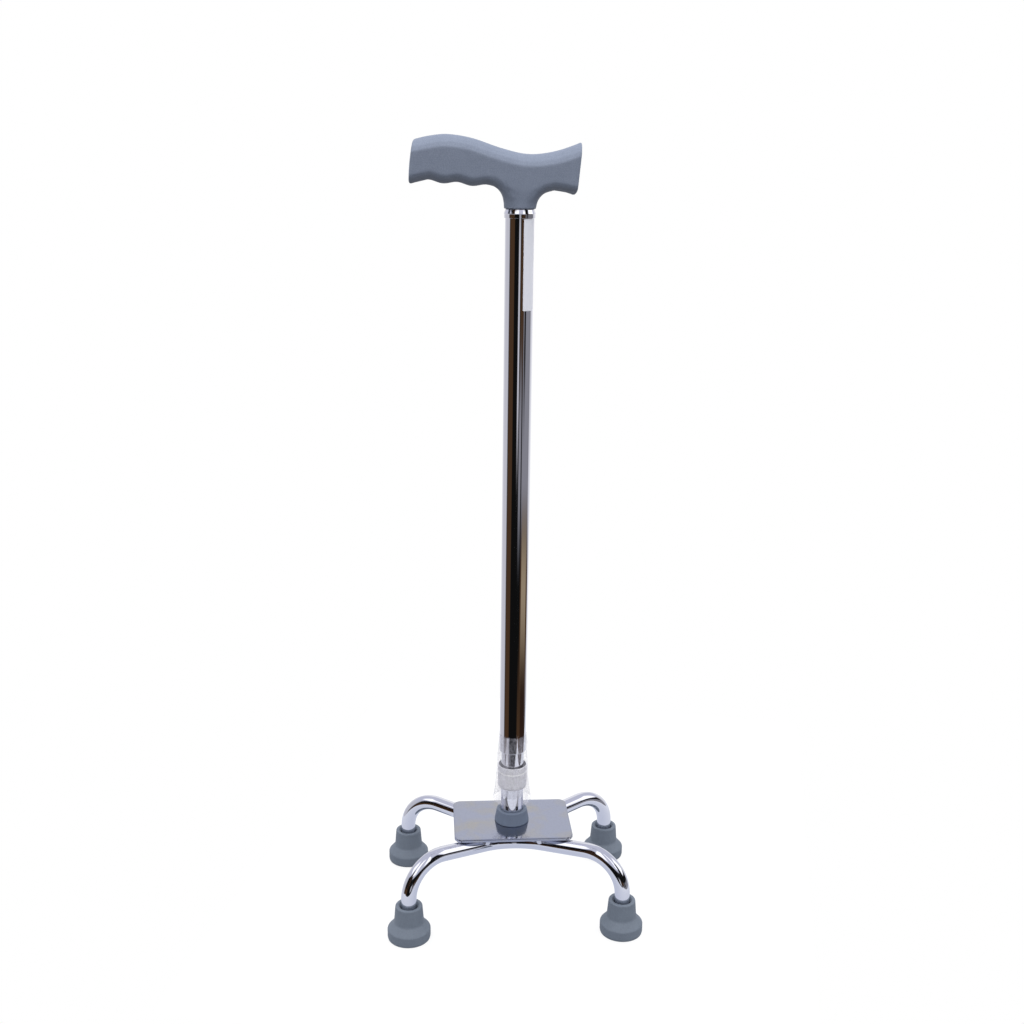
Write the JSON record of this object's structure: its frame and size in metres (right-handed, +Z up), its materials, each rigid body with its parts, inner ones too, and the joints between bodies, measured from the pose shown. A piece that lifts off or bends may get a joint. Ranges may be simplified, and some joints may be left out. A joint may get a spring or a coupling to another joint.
{
  "type": "quad cane",
  "caption": "Walking cane with a moulded T grip, a telescopic chromed shaft and a low base of bent tubes on rubber feet.",
  "frame": {"origin": "on the floor, under the shaft's axis and the middle of the four feet", "axes": "+Z up along the shaft, the grip's nose towards -X, the height holes and snap button towards +Y"},
  "size_m": [0.2134, 0.1576, 0.63],
  "materials": {
    "tube_chrome": "bright chrome plating",
    "plate_chrome": "satin chrome plating",
    "weld_chrome": "plated weld metal",
    "zinc_steel": "zinc plated",
    "grip_plastic": "fine matte moulding",
    "grey_plastic": "satin moulding",
    "collar_plastic": "satin moulding",
    "grey_rubber": "matte moulded rubber",
    "ring_rubber": "matte",
    "clear_film": "clear film",
    "label_paper": "bare label"
  },
  "bodies": {
    "base": {"lower_tube": "tube_chrome", "front_leg_tube": "tube_chrome", "rear_leg_tube": "tube_chrome", "base_plate": "plate_chrome", "base_bolt": "zinc_steel", "base_washer": "zinc_steel", "shaft_anchor": "zinc_steel", "button_spring": "zinc_steel", "base_bush": "grey_plastic", "guide_plug": "collar_plastic", "front_left_foot": "grey_rubber", "front_left_foot_washer": "zinc_steel", "front_left_weld": "weld_chrome", "front_right_foot": "grey_rubber", "front_right_foot_washer": "zinc_steel", "front_right_weld": "weld_chrome", "rear_left_foot": "grey_rubber", "rear_left_foot_washer": "zinc_steel", "rear_left_weld": "weld_chrome", "rear_right_foot": "grey_rubber", "rear_right_foot_washer": "zinc_steel", "rear_right_weld": "weld_chrome"},
    "button": {"snap_button": "zinc_steel"},
    "collar": {"lock_collar": "collar_plastic", "collar_grip_ring": "ring_rubber", "clear_sleeve": "clear_film"},
    "upper": {"upper_tube": "tube_chrome", "ferrule": "tube_chrome", "grip": "grip_plastic", "grip_screw": "zinc_steel", "paper_label": "label_paper"}
  },
  "joints": [
    {"name": "height_slide", "type": "slide", "parent": "base", "child": "upper", "axis": [0, 0, 1], "range_m": [0, 0.2286]},
    {"name": "button_press", "type": "slide", "parent": "base", "child": "button", "axis": [0, -1, 0], "range_m": [0, 0.0037], "stiffness_N_per_m": 1500, "springref_m": -0.001, "deforming": ["button_spring"]},
    {"name": "collar_slide", "type": "slide", "parent": "base", "child": "collar", "axis": [0, 0, 1], "range_m": [-0.019, 0.024]}
  ]
}
